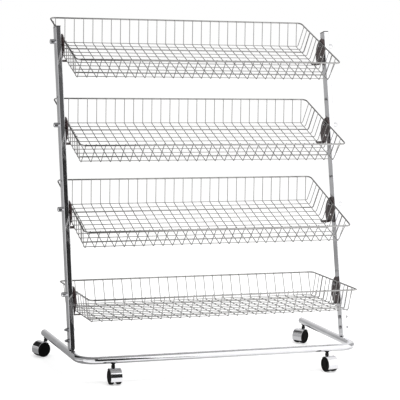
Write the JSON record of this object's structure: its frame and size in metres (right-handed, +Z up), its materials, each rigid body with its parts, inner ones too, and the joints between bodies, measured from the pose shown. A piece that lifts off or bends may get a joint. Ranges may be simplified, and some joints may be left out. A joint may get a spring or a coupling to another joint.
{
  "type": "mobile wire basket display rack",
  "caption": "Mobile shop display rack: a U-shaped tube base on casters, two posts that lean back, and wire baskets that tilt forward between them.",
  "frame": {"origin": "on the floor, in the middle of the whole rack's bounding box", "axes": "+Z up the rack, +Y to the back, +X to the right seen from the front; the pivot lines of the baskets run along X"},
  "size_m": [1.2266, 0.662, 1.3672],
  "materials": {
    "chrome_tube": "polished chrome plate",
    "socket_steel": "plain plated steel",
    "plug_grey": "smooth grey plastic",
    "black_plastic": "black plastic",
    "bolt_steel": "zinc plated steel",
    "chrome_wire": "bright chrome plated wire",
    "bracket_dark": "dark semi-gloss paint",
    "knob_chrome": "polished chrome plate",
    "hood_chrome": "chrome plated plastic",
    "wheel_black": "black nylon"
  },
  "bodies": {
    "rack": {"base_rail": "chrome_tube", "base_plug_left": "plug_grey", "base_plug_right": "plug_grey", "post_socket_left": "socket_steel", "post_socket_right": "socket_steel", "post_left": "chrome_tube", "post_right": "chrome_tube", "post_cap_left": "black_plastic", "post_cap_right": "black_plastic", "foot_bolts_left": "bolt_steel", "foot_bolts_right": "bolt_steel", "caster_fl_stem": "black_plastic", "caster_fr_stem": "black_plastic", "caster_bl_stem": "black_plastic", "caster_br_stem": "black_plastic"},
    "basket_1": {"basket_1_rim": "chrome_wire", "basket_1_cross_wires": "chrome_wire", "basket_1_long_wires": "chrome_wire", "bracket_1_left": "bracket_dark", "bracket_1_right": "bracket_dark"},
    "knob_1_left": {"knob_1_left": "knob_chrome"},
    "knob_1_right": {"knob_1_right": "knob_chrome"},
    "basket_2": {"basket_2_rim": "chrome_wire", "basket_2_cross_wires": "chrome_wire", "basket_2_long_wires": "chrome_wire", "bracket_2_left": "bracket_dark", "bracket_2_right": "bracket_dark"},
    "knob_2_left": {"knob_2_left": "knob_chrome"},
    "knob_2_right": {"knob_2_right": "knob_chrome"},
    "basket_3": {"basket_3_rim": "chrome_wire", "basket_3_cross_wires": "chrome_wire", "basket_3_long_wires": "chrome_wire", "bracket_3_left": "bracket_dark", "bracket_3_right": "bracket_dark"},
    "knob_3_left": {"knob_3_left": "knob_chrome"},
    "knob_3_right": {"knob_3_right": "knob_chrome"},
    "basket_4": {"basket_4_rim": "chrome_wire", "basket_4_cross_wires": "chrome_wire", "basket_4_long_wires": "chrome_wire", "bracket_4_left": "bracket_dark", "bracket_4_right": "bracket_dark"},
    "knob_4_left": {"knob_4_left": "knob_chrome"},
    "knob_4_right": {"knob_4_right": "knob_chrome"},
    "caster_fl": {"caster_fl_hood": "hood_chrome", "caster_fl_axle": "bolt_steel"},
    "caster_fl_wheel_left": {"caster_fl_wheel_left": "wheel_black"},
    "caster_fl_wheel_right": {"caster_fl_wheel_right": "wheel_black"},
    "caster_fr": {"caster_fr_hood": "hood_chrome", "caster_fr_axle": "bolt_steel"},
    "caster_fr_wheel_left": {"caster_fr_wheel_left": "wheel_black"},
    "caster_fr_wheel_right": {"caster_fr_wheel_right": "wheel_black"},
    "caster_bl": {"caster_bl_hood": "hood_chrome", "caster_bl_axle": "bolt_steel"},
    "caster_bl_wheel_left": {"caster_bl_wheel_left": "wheel_black"},
    "caster_bl_wheel_right": {"caster_bl_wheel_right": "wheel_black"},
    "caster_br": {"caster_br_hood": "hood_chrome", "caster_br_axle": "bolt_steel"},
    "caster_br_wheel_left": {"caster_br_wheel_left": "wheel_black"},
    "caster_br_wheel_right": {"caster_br_wheel_right": "wheel_black"}
  },
  "joints": [
    {"name": "basket_1_tilt", "type": "hinge", "parent": "rack", "child": "basket_1", "pos_m": [0.01304, 0.11948, 1.27289], "axis": [1, 0, 0], "range_deg": [-20.5, 9.5]},
    {"name": "knob_1_left_turn", "type": "hinge", "parent": "rack", "child": "knob_1_left", "pos_m": [-0.56696, 0.11948, 1.27289], "axis": [-1, 0, 0], "continuous": true},
    {"name": "knob_1_right_turn", "type": "hinge", "parent": "rack", "child": "knob_1_right", "pos_m": [0.59304, 0.11948, 1.27289], "axis": [1, 0, 0], "continuous": true},
    {"name": "basket_2_tilt", "type": "hinge", "parent": "rack", "child": "basket_2", "pos_m": [0.01304, 0.04569, 0.95329], "axis": [1, 0, 0], "range_deg": [-20.5, 9.5]},
    {"name": "knob_2_left_turn", "type": "hinge", "parent": "rack", "child": "knob_2_left", "pos_m": [-0.56696, 0.04569, 0.95329], "axis": [-1, 0, 0], "continuous": true},
    {"name": "knob_2_right_turn", "type": "hinge", "parent": "rack", "child": "knob_2_right", "pos_m": [0.59304, 0.04569, 0.95329], "axis": [1, 0, 0], "continuous": true},
    {"name": "basket_3_tilt", "type": "hinge", "parent": "rack", "child": "basket_3", "pos_m": [0.01304, -0.02809, 0.6337], "axis": [1, 0, 0], "range_deg": [-20.5, 9.5]},
    {"name": "knob_3_left_turn", "type": "hinge", "parent": "rack", "child": "knob_3_left", "pos_m": [-0.56696, -0.02809, 0.6337], "axis": [-1, 0, 0], "continuous": true},
    {"name": "knob_3_right_turn", "type": "hinge", "parent": "rack", "child": "knob_3_right", "pos_m": [0.59304, -0.02809, 0.6337], "axis": [1, 0, 0], "continuous": true},
    {"name": "basket_4_tilt", "type": "hinge", "parent": "rack", "child": "basket_4", "pos_m": [0.01304, -0.10187, 0.31411], "axis": [1, 0, 0], "range_deg": [0, 30]},
    {"name": "knob_4_left_turn", "type": "hinge", "parent": "rack", "child": "knob_4_left", "pos_m": [-0.56696, -0.10187, 0.31411], "axis": [-1, 0, 0], "continuous": true},
    {"name": "knob_4_right_turn", "type": "hinge", "parent": "rack", "child": "knob_4_right", "pos_m": [0.59304, -0.10187, 0.31411], "axis": [1, 0, 0], "continuous": true},
    {"name": "caster_fl_swivel", "type": "hinge", "parent": "rack", "child": "caster_fl", "pos_m": [-0.42896, -0.27761, 0.07], "axis": [0, 0, 1], "continuous": true},
    {"name": "caster_fl_wheel_left_roll", "type": "hinge", "parent": "caster_fl", "child": "caster_fl_wheel_left", "pos_m": [-0.42896, -0.29761, 0.03], "axis": [1, 0, 0], "continuous": true},
    {"name": "caster_fl_wheel_right_roll", "type": "hinge", "parent": "caster_fl", "child": "caster_fl_wheel_right", "pos_m": [-0.42896, -0.29761, 0.03], "axis": [1, 0, 0], "continuous": true},
    {"name": "caster_fr_swivel", "type": "hinge", "parent": "rack", "child": "caster_fr", "pos_m": [0.45504, -0.27761, 0.07], "axis": [0, 0, 1], "continuous": true},
    {"name": "caster_fr_wheel_left_roll", "type": "hinge", "parent": "caster_fr", "child": "caster_fr_wheel_left", "pos_m": [0.45817, -0.29737, 0.03], "axis": [0.9877, 0.1564, 0], "continuous": true},
    {"name": "caster_fr_wheel_right_roll", "type": "hinge", "parent": "caster_fr", "child": "caster_fr_wheel_right", "pos_m": [0.45817, -0.29737, 0.03], "axis": [0.9877, 0.1564, 0], "continuous": true},
    {"name": "caster_bl_swivel", "type": "hinge", "parent": "rack", "child": "caster_bl", "pos_m": [-0.55696, 0.24839, 0.07], "axis": [0, 0, 1], "continuous": true},
    {"name": "caster_bl_wheel_left_roll", "type": "hinge", "parent": "caster_bl", "child": "caster_bl_wheel_left", "pos_m": [-0.57575, 0.24155, 0.03], "axis": [0.342, -0.9397, 0], "continuous": true},
    {"name": "caster_bl_wheel_right_roll", "type": "hinge", "parent": "caster_bl", "child": "caster_bl_wheel_right", "pos_m": [-0.57575, 0.24155, 0.03], "axis": [0.342, -0.9397, 0], "continuous": true},
    {"name": "caster_br_swivel", "type": "hinge", "parent": "rack", "child": "caster_br", "pos_m": [0.58304, 0.24839, 0.07], "axis": [0, 0, 1], "continuous": true},
    {"name": "caster_br_wheel_left_roll", "type": "hinge", "parent": "caster_br", "child": "caster_br_wheel_left", "pos_m": [0.56646, 0.2372, 0.03], "axis": [0.5592, -0.829, 0], "continuous": true},
    {"name": "caster_br_wheel_right_roll", "type": "hinge", "parent": "caster_br", "child": "caster_br_wheel_right", "pos_m": [0.56646, 0.2372, 0.03], "axis": [0.5592, -0.829, 0], "continuous": true}
  ]
}
